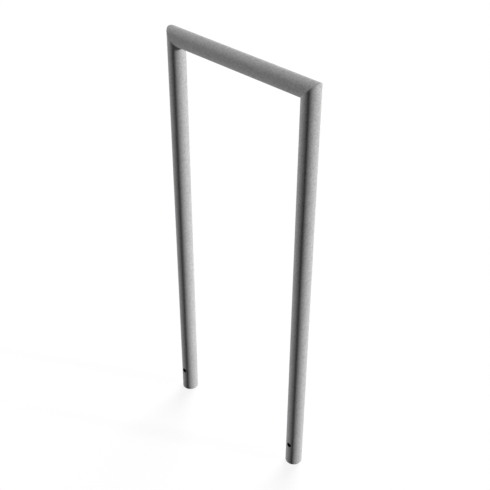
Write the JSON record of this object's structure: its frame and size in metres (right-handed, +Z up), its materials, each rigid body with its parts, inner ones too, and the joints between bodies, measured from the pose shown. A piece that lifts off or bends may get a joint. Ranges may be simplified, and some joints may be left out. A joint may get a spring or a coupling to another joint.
{
  "type": "hoop barrier",
  "caption": "Upright hoop barrier of galvanised round steel tube with mitred, flush-welded top corners, open feet and a cross hole near each foot for anchoring in the ground.",
  "frame": {"origin": "on the plane of the sawn feet, midway between the legs", "axes": "+X along the rail towards the right leg, +Y through the hoop along the cross holes, +Z up along the legs"},
  "size_m": [0.4424, 0.0424, 1.0712],
  "materials": {
    "galvanised_tube": "hot-dip galvanised steel tube, dull mid grey with a fine mottle",
    "galvanised_weld": "weld dressed flush and galvanised over, as the tube"
  },
  "bodies": {
    "root": {"left_leg": "galvanised_tube", "right_leg": "galvanised_tube", "top_rail": "galvanised_tube", "left_mitre_weld": "galvanised_weld", "right_mitre_weld": "galvanised_weld"}
  },
  "joints": []
}
